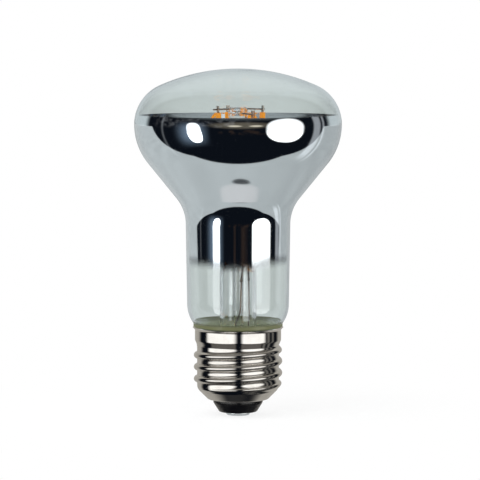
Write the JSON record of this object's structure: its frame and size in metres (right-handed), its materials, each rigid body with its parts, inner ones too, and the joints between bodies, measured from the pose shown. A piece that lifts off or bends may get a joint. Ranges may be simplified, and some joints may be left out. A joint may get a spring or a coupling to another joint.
{
  "type": "led filament bulb",
  "caption": "Clear reflector lamp bulb: light strips on a glass stem in a mirrored blown envelope, on a rolled screw cap with a driver inside.",
  "frame": {"origin": "middle of the tip contact's underside, the lowest point of the bulb standing cap down", "axes": "+Z along the bulb's axis from the tip contact to the crown of the dome; +X to the right and -Y towards the viewer as pictured"},
  "size_m": [0.063, 0.063, 0.1056],
  "materials": {
    "clear_glass": "clear blown glass, glossy",
    "stem_glass": "clear pressed and drawn glass",
    "mirror_film": "evaporated bright metal",
    "strip_coating": "orange light-converting silicone",
    "tab_metal": "thin stamped metal",
    "nickel_wire": "plated iron wire, dull",
    "copper_wire": "oxidised copper wire",
    "shell_metal": "nickel plated, bright with fine handling marks",
    "insulator_black": "black moulded insulator",
    "contact_metal": "tinned brass with a matt skin",
    "cement_olive": "cured olive cement",
    "sleeve_white": "white moulded plastic",
    "board_green": "laminate with solder mask",
    "package_black": "moulded package",
    "can_metal": "drawn can with a coloured skin",
    "ferrite": "dark grey ferrite",
    "coil_copper": "enamelled copper",
    "resistor_body": "lacquered ceramic",
    "solder": "bright solder",
    "tubing": "woven glass tubing"
  },
  "bodies": {
    "root": {"glass_envelope": "clear_glass", "mirror_coating": "mirror_film", "stem_flare": "stem_glass", "exhaust_tube": "stem_glass", "stem_pillar": "stem_glass", "support_wire_front": "nickel_wire", "support_wire_rear": "nickel_wire", "led_filament_1": "strip_coating", "led_filament_2": "strip_coating", "led_filament_3": "strip_coating", "led_filament_4": "strip_coating", "filament_tabs_1": "tab_metal", "filament_tabs_2": "tab_metal", "filament_tabs_3": "tab_metal", "filament_tabs_4": "tab_metal", "inner_lead_live": "nickel_wire", "inner_lead_neutral": "nickel_wire", "outer_lead_live": "copper_wire", "outer_lead_neutral": "copper_wire", "lead_sleeves": "tubing", "screw_shell": "shell_metal", "basing_cement": "cement_olive", "cap_insulator": "insulator_black", "centre_contact": "contact_metal", "driver_sleeve": "sleeve_white", "driver_board": "board_green", "solder_joints": "solder", "fusible_resistor": "resistor_body", "smoothing_capacitor": "can_metal", "choke_core": "ferrite", "choke_winding": "coil_copper", "bridge_rectifier": "package_black", "driver_chip": "package_black", "neutral_wire": "copper_wire"}
  },
  "joints": []
}
